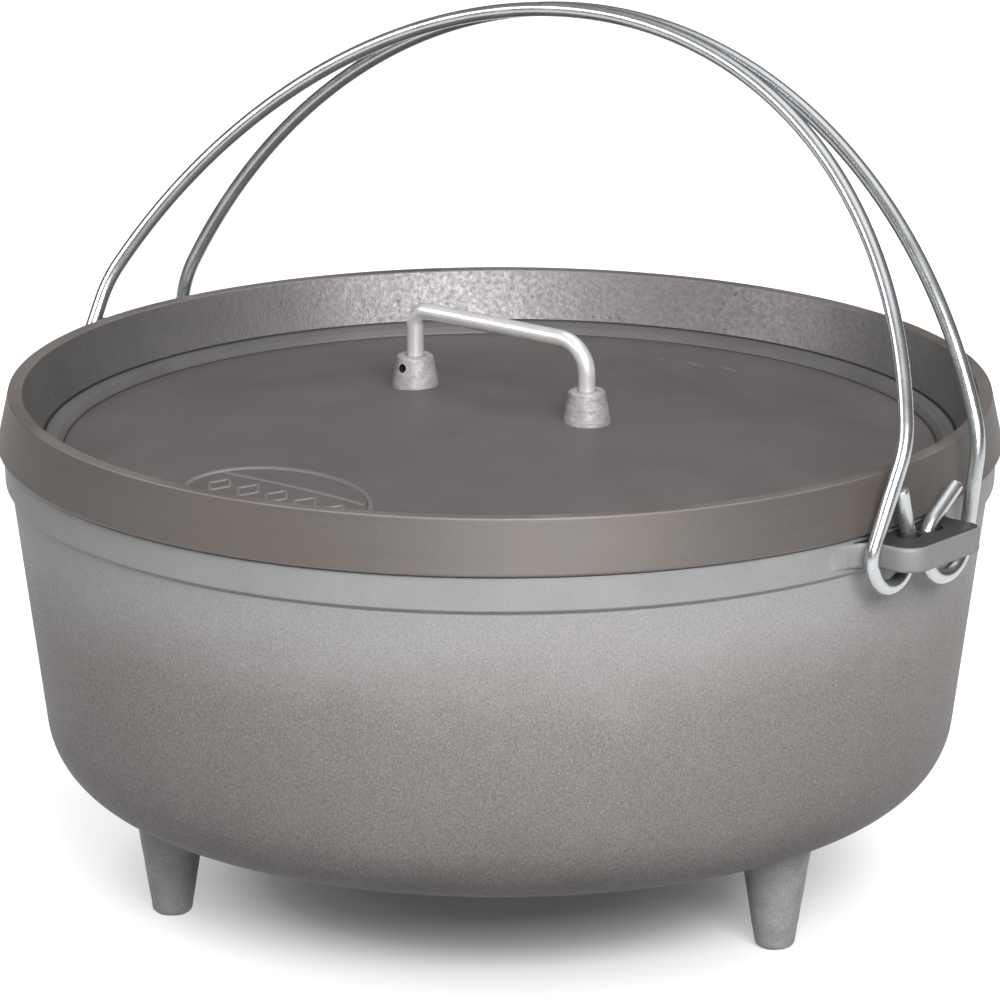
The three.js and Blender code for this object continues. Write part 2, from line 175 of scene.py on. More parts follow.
def arc_points(centre, radius, start, end, steps):
    """Points on an arc about a centre in the outline's plane."""
    x, y = centre
    angles = [start + (end - start) * i / steps for i in range(steps + 1)]
    return [Vector((x + radius * math.cos(a), y + radius * math.sin(a))) for a in angles]


def bent(start, corner, end, steps=12):
    """A smooth bend from start to end that leans towards the corner."""
    shares = [i / steps for i in range(steps + 1)]
    return [start.lerp(corner, t).lerp(corner.lerp(end, t), t) for t in shares]


def stepped(base, *steps):
    """Points at the given steps, in millimetres, from a base point of an outline."""
    return [Vector((base[0] + x * MM, base[1] + z * MM)) for x, z in steps]


def subdivided(line, longest):
    """The same line with its long sides cut up."""
    done = [line[0]]
    for start, end in zip(line, line[1:]):
        parts = max(1, math.ceil((end - start).length / longest))
        done += [start.lerp(end, i / parts) for i in range(1, parts + 1)]
    return done


EASE_LIMIT = math.radians(14)  # gentler corners than this stay as they are
EASE_SHARE = 0.42  # how much of a side a rounded corner may use
SUPPORT = 0.12 * MM  # a point this far from a rounded corner keeps the flat beside it flat


def eased(outline, radius, steps=4):
    """Rounds the corners of an outline, as a casting's or a turned edge's corners are."""
    done = [outline[0]]
    for before, corner, after in zip(outline, outline[1:], outline[2:]):
        back, on = before - corner, after - corner
        turn = (-back).angle_signed(on) if back.length and on.length else 0.0
        if abs(turn) < EASE_LIMIT:
            done.append(corner)
            continue
        tangent = math.tan(abs(turn) / 2)
        cut = min(radius * tangent, EASE_SHARE * back.length, EASE_SHARE * on.length)
        support = min(SUPPORT, 0.5 * back.length - cut, 0.5 * on.length - cut)
        back, on = back.normalized(), on.normalized()
        start, end = corner + back * cut, corner + on * cut
        middle = corner + (back + on).normalized() * math.hypot(cut, cut / tangent)
        if support > 0:
            done.append(start + back * support)
        for i in range(steps + 1):
            spoke = (start - middle).lerp(end - middle, i / steps).normalized()
            done.append(middle + spoke * (start - middle).length)
        if support > 0:
            done.append(end + on * support)
    done.append(outline[-1])
    return done


FIT_GAP = 0.3 * MM  # air between castings that fit together
WALL_SLOPE = 0.128  # how far the pot's wall leans out for its height
WALL_STEPS = 8
INNER_FOOT = 148.2 * MM  # radius at which the inner wall would meet the floor
INNER_CORNER = 21 * MM  # radius of the corner inside the pot
MOUTH_WALL = 3.6 * MM  # thickness of the mouth's edge


def pot_outline(pot):
    """The pot's section, from the middle of its underside, over the mouth, to the middle inside."""
    floor_z, mouth_z = POT_BOX[LOW].z, POT_BOX[HIGH].z
    centre_z = floor_z + pot.corner_radius
    wall_at_centre = pot.wall_top_radius + WALL_SLOPE * (centre_z - pot.wall_top_height)
    centre_r = wall_at_centre - pot.corner_radius * math.hypot(1, WALL_SLOPE)
    outer_arc = arc_points(
        (centre_r, centre_z), pot.corner_radius, -math.pi / 2, -math.atan(WALL_SLOPE), 18,
    )
    inner_z = floor_z + pot.floor_thickness
    inner_slope = (pot.mouth_radius - INNER_FOOT) / (mouth_z - inner_z)
    inner_r = INNER_FOOT + inner_slope * INNER_CORNER - INNER_CORNER * math.hypot(1, inner_slope)
    inner_arc = arc_points(
        (inner_r, inner_z + INNER_CORNER), INNER_CORNER, -math.atan(inner_slope), -math.pi / 2, 14,
    )
    mouth_outer = pot.mouth_radius + MOUTH_WALL
    wall_foot, wall_top = outer_arc[-1], Vector((pot.wall_top_radius, pot.wall_top_height))
    return [
        Vector((0, floor_z)),
        Vector((0.5 * centre_r, floor_z)),
        *outer_arc,
        *[wall_foot.lerp(wall_top, i / WALL_STEPS) for i in range(1, WALL_STEPS)],
        *eased([
            wall_foot.lerp(wall_top, (WALL_STEPS - 0.2) / WALL_STEPS),
            wall_top,
            *stepped((pot.band_radius, pot.wall_top_height), (-0.3, 1.7)),
            Vector((pot.band_radius, pot.band_top_height)),
            Vector((mouth_outer, pot.band_top_height)),
            Vector((mouth_outer, mouth_z)),
            *stepped((pot.mouth_radius, mouth_z), (0, 0), (-0.2, -4)),
        ], 0.8 * MM),
        *inner_arc,
        Vector((0.5 * inner_r, inner_z)),
        Vector((0, inner_z)),
    ]


def leg_outline(legs, pot):
    """A leg's section, with the stem and the peened head that hold it in the pot's floor."""
    top_z = POT_BOX[LOW].z - FIT_GAP
    head_z = POT_BOX[LOW].z + pot.floor_thickness + FIT_GAP
    stem, head, rounding = 4.5 * MM, 7.5 * MM, 2.6 * MM
    foot = legs.foot_radius
    corners = [
        Vector((0, 0)),
        *arc_points((foot - rounding, rounding), rounding, -math.pi / 2, 0, 7),
        Vector(((foot + legs.top_radius) / 2, top_z * 0.55)),
        *stepped((legs.top_radius, top_z), (-0.9, -4.6), (0, 0)),
        Vector((stem, top_z)),
        Vector((stem, head_z)),
        *stepped((head, head_z), (0, 0), (-1.2, 1.9), (-4, 2.6)),
        *stepped((0, head_z), (0, 2.6)),
    ]
    return subdivided(eased(corners, 1.0 * MM), 1.6 * MM)


DISC_DROP = 6 * MM  # the disc's middle is this far under the rim's top
DOME_STEPS = 26
LID_OUTER = 165 * MM  # outside radius of the rim at its top
RIM_FOOT = 154 * MM  # radius of the foot of the rim's inner wall
RIM_DEPTH = 16.9 * MM  # height of the rim's inner wall
SKIRT_OVERLAP = 5.7 * MM  # how far the skirt hangs below the pot's mouth


def dome_height(lid, radius):
    """Height of the disc's surface: part of a sphere, highest on the axis."""
    top = LID_BOX[HIGH].z - DISC_DROP
    sphere = (lid.disc_radius ** 2 + lid.dome_rise ** 2) / (2 * lid.dome_rise)
    return top - sphere + math.sqrt(sphere ** 2 - radius ** 2)


def lid_outline(lid, pot):
    """The lid's section, from the middle of its underside, round the skirt, to the top's middle."""
    top, skirt_foot = LID_BOX[HIGH].z, LID_BOX[HIGH].x
    foot_z, seat = POT_BOX[HIGH].z - SKIRT_OVERLAP, POT_BOX[HIGH].z + FIT_GAP
    rim_foot_z = top - RIM_DEPTH
    skirt_inner, plug = LID_OUTER - 0.4 * MM, pot.mouth_radius - 1 * MM
    radii = [lid.disc_radius * i / DOME_STEPS for i in range(DOME_STEPS + 1)]
    dome = [Vector((r, dome_height(lid, r))) for r in radii]
    under = [point - Vector((0, lid.thickness)) for point in dome]
    rim = eased([
        under[-1],
        Vector((RIM_FOOT, rim_foot_z - lid.thickness)),
        *stepped((plug, rim_foot_z - lid.thickness), (-1.5, 2.2)),
        Vector((plug, seat)),
        Vector((skirt_inner, seat)),
        Vector((skirt_inner, foot_z)),
        Vector((skirt_foot, foot_z)),
        *stepped((LID_OUTER, top), (0.1, 0)),
        Vector((LID_OUTER - lid.lip_width, top)),
        *stepped((RIM_FOOT, rim_foot_z), (0.25, 0.2), (-0.1, -0.9), (-0.9, -0.1)),
        *stepped(
            (lid.disc_radius, dome[-1].y),
            (4.4, 3.3), (2.0, 2.2), (0.6, 0.7), (0.1, -0.3), (-0.7, 0.06),
        ),
    ], 0.7 * MM)
    return [*under[:-1], *rim, *reversed(dome[:-1])]


def boss_outline(lid, post_x):
    """A boss's section: a cone with its foot just in the dome, over a stem and a peened head."""
    head_z = dome_height(lid, post_x + 5.4 * MM) - lid.thickness - FIT_GAP
    corners = [
        *stepped((0, head_z), (0, -1.8), (4.2, -1.8), (5.4, -0.9), (5.4, 0), (3, 0)),
        *stepped((0, dome_height(lid, post_x)), (3, -0.9), (8.1, -0.9), (7.9, 1.4)),
        *stepped((0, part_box("lid_boss_right")[HIGH].z), (6.2, -0.5), (5.6, 0), (0, 0)),
    ]
    return subdivided(eased(corners, 0.6 * MM), 0.8 * MM)


# ---- Node graphs ----


class Graph:
    """Adds nodes to a node tree and links them."""

    def __init__(self, tree):
        self.nodes, self.links = tree.nodes, tree.links

    def feed(self, socket, value):
        if isinstance(value, bpy.types.NodeSocket):
            self.links.new(value, socket)
        else:
            socket.default_value = value

    def node(self, kind, settings=None, **sockets):
        """Adds a node; sockets are values or outputs to link, by name or as n0, n1 and so on."""
        made = self.nodes.new(kind)
        for key, value in (settings or {}).items():
            setattr(made, key, value)
        for key, value in sockets.items():
            numbered = key[0] == "n" and key[1:].isdigit()
            self.feed(made.inputs[int(key[1:]) if numbered else key.replace("_", " ")], value)
        return made

    def maths(self, operation, first, second=0.0):
        return self.node("ShaderNodeMath", {"operation": operation}, n0=first, n1=second).outputs[0]

    def ramp(self, value, stops):
        """A colour ramp of (position, colour or grey) stops."""
        made = self.node("ShaderNodeValToRGB", Fac=value)
        points = made.color_ramp.elements
        while len(points) < len(stops):
            points.new(1.0)
        for point, (position, shade) in zip(points, stops):
            tone = (shade,) * 3 if isinstance(shade, float) else tuple(shade)
            point.position, point.color = position, (*tone, 1.0)
        return made.outputs["Color"]


class Tree(Graph):
    """A geometry node tree under construction."""

    def __init__(self, name, inputs):
        self.group = bpy.data.node_groups.new(name, "GeometryNodeTree")
        super().__init__(self.group)
        add = self.group.interface.new_socket
        add(name="Geometry", in_out="INPUT", socket_type="NodeSocketGeometry")
        for label, kind in {**inputs, "Material": "Material"}.items():
            add(name=label, in_out="INPUT", socket_type="NodeSocket" + kind)
        add(name="Geometry", in_out="OUTPUT", socket_type="NodeSocketGeometry")
        self.start = self.node("NodeGroupInput").outputs

    def finish(self, geometry):
        """Ends the tree: instances made real, the material set, then the group's output."""
        real = self.node("GeometryNodeRealizeInstances", Geometry=geometry)
        painted = self.node(
            "GeometryNodeSetMaterial", Geometry=real.outputs[0], Material=self.start["Material"],
        )
        self.node("NodeGroupOutput", n0=painted.outputs[0])
        return self.group


def turned_tree():
    """Turns the input outline, a line of points in the XZ plane, about Z."""
    tree = Tree("Turned Body", {"Segments": "Int"})
    outline, segments = tree.start["Geometry"], tree.start["Segments"]
    count = tree.node(
        "GeometryNodeAttributeDomainSize", {"component": "MESH"}, Geometry=outline,
    ).outputs["Point Count"]
    columns = tree.maths("ADD", segments, 1.0)
    grid = tree.node("GeometryNodeMeshGrid", Vertices_X=count, Vertices_Y=columns)
    index = tree.node("GeometryNodeInputIndex").outputs[0]
    row = tree.maths("FLOOR", tree.maths("DIVIDE", index, columns))
    column = tree.maths("MODULO", index, columns)
    sample = tree.node(
        "GeometryNodeSampleIndex", {"data_type": "FLOAT_VECTOR", "domain": "POINT"},
        Geometry=outline, Value=tree.node("GeometryNodeInputPosition").outputs[0], Index=row,
    )
    turn = tree.maths("DIVIDE", tree.maths("MULTIPLY", column, math.tau), segments)
    placed = tree.node(
        "ShaderNodeVectorRotate", {"rotation_type": "Z_AXIS"}, Vector=sample.outputs[0], Angle=turn,
    )
    moved = tree.node(
        "GeometryNodeSetPosition", Geometry=grid.outputs["Mesh"], Position=placed.outputs[0],
    )
    merged = tree.node("GeometryNodeMergeByDistance", Geometry=moved.outputs[0], Distance=1e-6)
    return tree.finish(merged.outputs[0])


def wire_tree():
    """Sweeps a round section along the input lines; each point's thickness scales the section."""
    tree = Tree("Swept Wire", {"Wire Radius": "Float", "Sides": "Int"})
    line = tree.node("GeometryNodeMeshToCurve", n0=tree.start["Geometry"])
    thickness = tree.node(
        "GeometryNodeInputNamedAttribute", {"data_type": "FLOAT"}, Name="thickness",
    ).outputs[0]
    sized = tree.node("GeometryNodeSetCurveRadius", n0=line.outputs[0], Radius=thickness)
    section = tree.node(
        "GeometryNodeCurvePrimitiveCircle",
        Resolution=tree.start["Sides"], Radius=tree.start["Wire Radius"],
    )
    swept = tree.node(
        "GeometryNodeCurveToMesh", n0=sized.outputs[0], n1=section.outputs[0], Fill_Caps=True,
    )
    if "Scale" in swept.inputs:
        tree.feed(swept.inputs["Scale"], thickness)
    return tree.finish(swept.outputs[0])


def ring_tree():
    """Stands copies of the input piece on a circle, each turned to face outward."""
    tree = Tree("Ring of Legs", {"Count": "Int", "Ring Radius": "Float"})
    count = tree.start["Count"]
    circle = tree.node("GeometryNodeMeshCircle", Vertices=count, Radius=tree.start["Ring Radius"])
    index = tree.node("GeometryNodeInputIndex").outputs[0]
    turn = tree.maths("DIVIDE", tree.maths("MULTIPLY", index, math.tau), count)
    placed = tree.node(
        "GeometryNodeInstanceOnPoints", Points=circle.outputs[0], Instance=tree.start["Geometry"],
        Rotation=tree.node("ShaderNodeCombineXYZ", Z=turn).outputs[0],
    )
    return tree.finish(placed.outputs[0])


TREE_MAKERS = {"turned": turned_tree, "wire": wire_tree, "ring": ring_tree}
TREES = {}


# ---- Mesh helpers ----


def added(name, data):
    """A new object, linked into the scene."""
    made = bpy.data.objects.new(name, data)
    bpy.context.scene.collection.objects.link(made)
    return made


def evaluated(host, *helpers):
    """The host's mesh after its modifiers. The host and its helpers are removed."""
    graph = bpy.context.evaluated_depsgraph_get()
    graph.update()
    made = bpy.data.meshes.new_from_object(host.evaluated_get(graph), depsgraph=graph)
    for used in (host, *helpers):
        bpy.data.objects.remove(used)
    return made


def as_mesh(work, name):
    """A mesh of what a bmesh holds. The bmesh is freed."""
    mesh = bpy.data.meshes.new(name)
    work.to_mesh(mesh)
    work.free()
    return mesh


def through_tree(mesh, kind, material, **inputs):
    """Runs a mesh through one of the trees and returns the plain mesh that comes out."""
    if kind not in TREES:
        TREES[kind] = TREE_MAKERS[kind]()
    host = added("tree_host", mesh)
    modifier = host.modifiers.new("Nodes", "NODES")
    modifier.node_group = TREES[kind]
    values = {"Material": material, **{key.replace("_", " "): inputs[key] for key in inputs}}
    for socket in TREES[kind].interface.items_tree:
        if socket.in_out == "INPUT" and socket.name in values:
            modifier[socket.identifier] = values[socket.name]
    made = evaluated(host)
    if not made.polygons:
        raise RuntimeError(f"the {kind} tree made no faces")
    return made


def line_mesh(lines, thickness=None):
    """A mesh of (points, closed) lines. thickness scales a swept section at each point."""
    mesh = bpy.data.meshes.new("lines")
    points, edges = [], []
    for line, closed in lines:
        first = len(points)
        points += [tuple(point) for point in line]
        edges += [(i, i + 1) for i in range(first, len(points) - 1)]
        if closed:
            edges.append((len(points) - 1, first))
    mesh.from_pydata(points, edges, [])
    values = mesh.attributes.new("thickness", "FLOAT", "POINT")
    values.data.foreach_set("value", thickness or [1.0] * len(points))
    return mesh


def outward(mesh):
    """Merges doubles and points every face of a closed mesh outward."""
    work = bmesh.new()
    work.from_mesh(mesh)
    bmesh.ops.remove_doubles(work, verts=work.verts, dist=1e-7)
    bmesh.ops.dissolve_degenerate(work, dist=1e-8, edges=work.edges)
    bmesh.ops.recalc_face_normals(work, faces=work.faces)
    if work.calc_volume(signed=True) < 0:
        bmesh.ops.reverse_faces(work, faces=work.faces)
    work.to_mesh(mesh)
    work.free()
    return mesh


def turned(outline, material, segments):
    line = line_mesh([([Vector((r, 0, z)) for r, z in outline], False)])
    return outward(through_tree(line, "turned", material, Segments=segments))


def joined(meshes):
    """One mesh from several, with their material slots left to the caller."""
    work = bmesh.new()
    for mesh in meshes:
        work.from_mesh(mesh)
    return as_mesh(work, "joined")


def roughened(mesh, depth, size, seed):
    """Moves the surface in and out a little, as a raw casting's is."""
    mesh.update()
    shift = Vector((seed * 13.7, seed * 7.1, seed * 3.3))
    normals = [vertex.normal.copy() for vertex in mesh.vertices]
    for vertex, normal in zip(mesh.vertices, normals):
        vertex.co += normal * depth * noise.noise(vertex.co / size + shift)
    return mesh


def carved(base, operation, tools):
    """The base mesh after a boolean with each of the tools in turn."""
    host = added("carve_base", base)
    helpers = [added("carve_tool", mesh) for mesh in tools]
    for helper in helpers:
        cut = host.modifiers.new("Carve", "BOOLEAN")
        cut.operation, cut.object, cut.solver = operation, helper, "EXACT"
    return evaluated(host, *helpers)


def bar_mesh(radius, start, end, sides=24):
    """A closed round bar from one point to another."""
    start, end = Vector(start), Vector(end)
    work = bmesh.new()
    turn = (end - start).to_track_quat("Z", "Y").to_matrix().to_4x4()
    bmesh.ops.create_cone(
        work, cap_ends=True, segments=sides, radius1=radius, radius2=radius,
        depth=(end - start).length, matrix=Matrix.Translation((start + end) / 2) @ turn,
    )
    return as_mesh(work, "bar")


def middle_of(node):
    return sum(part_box(node), Vector()) / 2


def piece(name, mesh, body, nodes, materials=None, zone=None, crisp=60):
    """Finishes a piece: its shading, its materials, the body it rides on, the nodes it stands for.

    Edges sharper than crisp, in degrees, stay crisp; zone chooses a face's material.
    """
    outward(mesh)
    mesh.polygons.foreach_set("use_smooth", [True] * len(mesh.polygons))
    mesh.set_sharp_from_angle(angle=math.radians(crisp))
    mesh.update()
    made = added(name, mesh)
    mesh.name = name
    if materials:
        places = [zone(face) if zone else 0 for face in mesh.polygons]
        mesh.materials.clear()
        for material in materials:
            mesh.materials.append(material)
        mesh.polygons.foreach_set("material_index", places)
    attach(made, body)
    if nodes:
        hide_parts(*nodes)


# ---- Materials ----

WORN_FROM, WORN_FULL = 0.515, 0.56  # pointiness at which edge wear starts, and is at its most


def scaled(shade, factor):
    return [c * factor for c in shade]


class Finish(Graph):
    """A material under construction, on one Principled shader."""

    def __init__(self, name):
        self.material = bpy.data.materials.new(name)
        self.material.use_nodes = True
        super().__init__(self.material.node_tree)
        self.shader = self.nodes["Principled BSDF"]
        self.place = self.node("ShaderNodeTexCoord").outputs["Object"]

    def grain(self, size, detail=3.0, roughness=0.55, place=None):
        """Noise of one size in metres, from 0 to 1."""
        made = self.node(
            "ShaderNodeTexNoise", Vector=place or self.place,
            Scale=1 / size, Detail=detail, Roughness=roughness,
        )
        return made.outputs["Fac"]

    def spread(self, value, low, high, new_low, new_high):
        """The value, with low to high spread over new_low to new_high."""
        made = self.node("ShaderNodeMapRange", n0=value, n1=low, n2=high, n3=new_low, n4=new_high)
        return made.outputs[0]

    def varied(self, grain, first, second, low=0.3, high=0.7):
        """A measure that goes from first to second as the grain goes from low to high."""
        return self.spread(grain, low, high, first, second)

    def blend(self, mode, factor, under, over):
        made = self.node("ShaderNodeMix", {"data_type": "RGBA", "blend_type": mode}, n0=factor)
        for place, value in ((6, under), (7, over)):
            linked = isinstance(value, bpy.types.NodeSocket)
            self.feed(made.inputs[place], value if linked else (*value, 1.0))
        return made.outputs[2]

    def mottled(self, tone, amount, grain, dark, light, low=0.3, high=0.7):
        """The tone multiplied by dark to light as the grain goes from low to high."""
        return self.blend("MULTIPLY", amount, tone, self.ramp(grain, [(low, dark), (high, light)]))

    def axes(self):
        return self.node("ShaderNodeSeparateXYZ", Vector=self.place).outputs

    def off_axis(self, x, y):
        """Distance from the Z axis."""
        squares = [self.maths("MULTIPLY", value, value) for value in (x, y)]
        return self.maths("SQRT", self.maths("ADD", *squares))

    def round_place(self, across, along):
        """Coordinates that follow the turning: fine across it, stretched along it."""
        x, y, z = self.axes()
        return self.node(
            "ShaderNodeCombineXYZ", X=self.maths("MULTIPLY", self.off_axis(x, y), 1 / across),
            Y=self.maths("MULTIPLY", z, 1 / across),
            Z=self.maths("MULTIPLY", self.maths("ARCTAN2", y, x), along),
        ).outputs[0]

    def bump(self, *layers):
        """Stacks bumps of (height, depth in millimetres)."""
        normal = None
        for height, depth in layers:
            made = self.node("ShaderNodeBump", Height=height, Distance=depth * MM, Strength=1.0)
            if normal is not None:
                self.links.new(normal, made.inputs["Normal"])
            normal = made.outputs["Normal"]
        self.links.new(normal, self.shader.inputs["Normal"])

    def worn(self, tone, amount, bare):
        """The tone, with bare metal on raised edges."""
        point = self.node("ShaderNodeNewGeometry").outputs["Pointiness"]
        edge = self.spread(point, WORN_FROM, WORN_FULL, 0.0, amount)
        return self.blend("MIX", edge, tone, bare)

    def done(self, tone, metallic, roughness, specular=0.5):
        for name, value in (
            ("Base Color", tone), ("Metallic", metallic),
            ("Roughness", roughness), ("Specular IOR Level", specular),
        ):
            self.feed(self.shader.inputs[name], value)
        return self.material


def blasted_wall(pot):
    """The grit blasted, anodised outside of the pot, with painted light and shade: lighter towards
    the band and darker towards the floor.
    """
    finish = Finish("blasted_wall")
    grains = finish.grain(pot.grain_size, detail=2.0, roughness=0.7)
    fine = finish.grain(pot.grain_size * 0.45, detail=1.0)
    cloud = finish.grain(38 * MM, detail=4.0)
    drift = finish.maths("MULTIPLY", finish.maths("SUBTRACT", cloud, 0.5), 26 * MM)
    level = finish.maths("ADD", finish.axes()["Z"], drift)
    up = finish.spread(level, POT_BOX[LOW].z, pot.wall_top_height, 0.0, 1.0)
    shaded_bottom = pot.wall_bottom_shade_colour
    # Painted shade: the ramp darkens the wall towards the floor and lightens it towards the band.
    tone = finish.ramp(up, [
        (0.0, scaled(shaded_bottom, 0.6)), (0.12, scaled(shaded_bottom, 0.95)), (0.30, scaled(shaded_bottom, 1.25)),
        (0.62, pot.wall_middle_colour), (0.90, pot.wall_top_lit_colour),
    ])
    speck = finish.ramp(grains, [(0.30, 0.60), (0.50, 0.98), (0.68, 1.42)])
    # Painted glints: light specks screened over the colour stand in for light catching the blasted
    # grit.
    painted_glints = finish.maths("MULTIPLY", finish.ramp(fine, [(0.62, 0.0), (0.74, 1.0)]), 0.10)
    tone = finish.blend("MULTIPLY", finish.spread(up, 0.60, 0.98, 0.74, 0.30), tone, speck)
    tone = finish.blend("SCREEN", painted_glints, tone, (0.75, 0.74, 0.73))
    finish.bump((grains, 0.08), (fine, 0.02))
    return finish.done(tone, 0.3, finish.varied(grains, 0.66, 0.52), 0.25)


def blasted_band(pot):
    """The lighter, finer blasted band under the lid."""
    finish = Finish("blasted_band")
    grains = finish.grain(pot.grain_size * 0.6, detail=2.0, roughness=0.7)
    cloud = finish.grain(24 * MM, detail=4.0)
    tone = finish.mottled(pot.band_colour, 0.5, grains, 0.75, 1.22)
    tone = finish.mottled(tone, 0.5, cloud, 0.80, 1.10)
    tone = finish.worn(tone, 0.30, (0.55, 0.55, 0.55))
    finish.bump((grains, 0.03))
    return finish.done(tone, 0.3, finish.varied(cloud, 0.50, 0.60), 0.25)


def smooth_casting(name, base, mottle):
    """Anodised cast metal with a soft mottle."""
    finish = Finish(name)
    cloud = finish.grain(30 * MM, detail=5.0, roughness=0.6)
    grains = finish.grain(0.7 * MM)
    tone = finish.mottled(base, 0.8, cloud, 1.0 - mottle, 1.0 + mottle)
    tone = finish.mottled(tone, 0.5, grains, 0.86, 1.12)
    finish.bump((grains, 0.012), (cloud, 0.02))
    return finish.done(tone, 0.35, finish.varied(cloud, 0.54, 0.64), 0.3)


def hammered_casting(name, base):
    """The rim's inner wall: anodised, with a lively, finely dimpled casting skin and pits."""
    finish = Finish(name)
    dimples = finish.grain(1.7 * MM, detail=4.0, roughness=0.65)
    sand = finish.grain(0.6 * MM, detail=2.0)
    cloud = finish.grain(34 * MM, detail=4.0)
    tone = finish.mottled(base, 0.8, cloud, 0.86, 1.12)
    tone = finish.mottled(tone, 0.6, dimples, 0.74, 1.22, high=0.68)
    pits = finish.spread(finish.grain(2.8 * MM, detail=1.0), 0.72, 0.80, 0.0, 0.4)
    tone = finish.blend("MIX", pits, tone, scaled(base, 0.4))
    tone = finish.worn(tone, 0.15, (0.36, 0.35, 0.35))
    finish.bump((dimples, 0.16), (sand, 0.05), (pits, -0.2))
    return finish.done(tone, 0.7, finish.varied(dimples, 0.60, 0.42), 0.3)


def turned_metal(name, base, tint):
    """A lathe turned face: fine lines round the axis, and a faint warm stain."""
    finish = Finish(name)
    lines = finish.grain(1.0, detail=4.0, roughness=0.7, place=finish.round_place(0.45 * MM, 1.2))
    broad = finish.grain(1.0, detail=2.0, place=finish.round_place(4 * MM, 2.0))
    stain = finish.grain(60 * MM)
    fine = finish.grain(0.5 * MM, detail=2.0)
    tone = finish.blend("MIX", finish.spread(stain, 0.42, 0.66, 0.0, 0.8), base, tint)
    tone = finish.mottled(tone, 0.35, lines, 0.84, 1.12)
    tone = finish.mottled(tone, 0.3, broad, 0.90, 1.06)
    tone = finish.mottled(tone, 0.5, fine, 0.86, 1.12)
    tone = finish.worn(tone, 0.18, (0.40, 0.39, 0.38))
    finish.bump((lines, 0.004))
    return finish.done(tone, 0.6, finish.varied(lines, 0.50, 0.60), 0.3)


def raw_casting(name, base, streaking):
    """Raw cast metal, with a sandy skin and level streaks."""
    finish = Finish(name)
    sand = finish.grain(0.8 * MM, roughness=0.65)
    cloud = finish.grain(6 * MM, detail=4.0)
    level = finish.node(
        "ShaderNodeMapping", Vector=finish.place,
        Scale=(1 / (4 * MM), 1 / (4 * MM), 1 / (0.9 * MM)),
    )
    streaks = finish.grain(1.0, place=level.outputs[0])
    tone = finish.mottled(base, 0.6, sand, 0.74, 1.22)
    tone = finish.mottled(tone, streaking, streaks, 0.74, 1.18, 0.35, 0.65)
    tone = finish.mottled(tone, 0.6, cloud, 0.78, 1.14)
    tone = finish.worn(tone, 0.25, (0.50, 0.49, 0.48))
    finish.bump((sand, 0.08), (streaks, 0.13 * streaking), (cloud, 0.2))
    return finish.done(tone, 0.35, finish.varied(sand, 0.62, 0.48), 0.3)


def blasted_rod(handle):
    """The satin rod of the lid's handle."""
    finish = Finish("blasted_rod")
    grains = finish.grain(0.35 * MM, detail=2.0)
    cloud = finish.grain(9 * MM)
    tone = finish.mottled(handle.rod_colour, 0.5, grains, 0.84, 1.12)
    tone = finish.mottled(tone, 0.5, cloud, 0.84, 1.06)
    finish.bump((grains, 0.015), (cloud, 0.05))
    return finish.done(tone, 0.6, finish.varied(grains, 0.28, 0.38))


def plated_wire(bails):
    """Bright plated wire with faint draw marks and duller patches."""
    finish = Finish("plated_wire")
    cloud = finish.grain(11 * MM, detail=4.0)
    fine = finish.grain(0.5 * MM, detail=2.0)
    tone = finish.mottled(bails.wire_colour, 0.6, cloud, 0.86, 1.08)
    finish.bump((fine, 0.004), (cloud, 0.02))
    return finish.done(tone, 0.9, finish.varied(cloud, 0.24, 0.30, low=0.35))


def pin_steel_painted_shade(bails):
    """Scuffed steel for the cross pins, painted near black as shade in the bores; the bosses' bore
    and socket walls take it too.
    """
    finish = Finish("pin_steel_painted_shade")
    scuffs = finish.grain(0.6 * MM, detail=4.0)
    tones = [(low, scaled(bails.wire_colour, part)) for low, part in ((0.3, 0.02), (0.7, 0.07))]
    finish.bump((scuffs, 0.03))
    return finish.done(finish.ramp(scuffs, tones), 0.4, finish.varied(scuffs, 0.60, 0.75), 0.2)


# ---- Pot and legs ----

ROUND_STEPS = 288  # segments round the pot and the lid
CRISP_RINGS, CRISP_BOSS = 38, 55  # edges sharper than this, in degrees, stay crisp
LEG_STEPS = 56  # segments round a leg or a boss
LEGS = ("leg_right", "leg_front_left", "leg_rear")
STEM_BORE = 4.8 * MM  # radius of the hole for a leg's stem
EAR_TOP = 153.4 * MM
EAR_ROOT, EAR_SPREAD = 160.8 * MM, 33 * MM  # where the ear's plan starts, inside the band
EYE_CLEARANCE = 0.9 * MM  # room round a wire in its hole

BAIL_HALF_SPAN = 173 * MM
BAILS = {
    "bail_wire_front": {
        "node": "bail_front", "body": "front_bail", "joint": "front_bail_swing", "outwards": -1,
        "eye": 10.2 * MM, "stub": 19 * MM, "leg": 33.6 * MM, "crown": 157.6 * MM,
        "lean": math.radians(28.6),
    },
    "bail_wire_rear": {
        "node": "bail_rear", "body": "rear_bail", "joint": "rear_bail_swing", "outwards": 1,
        "eye": 11.5 * MM, "stub": 15 * MM, "leg": 32.8 * MM, "crown": 150 * MM,
        "lean": math.radians(11.8),
    },
}


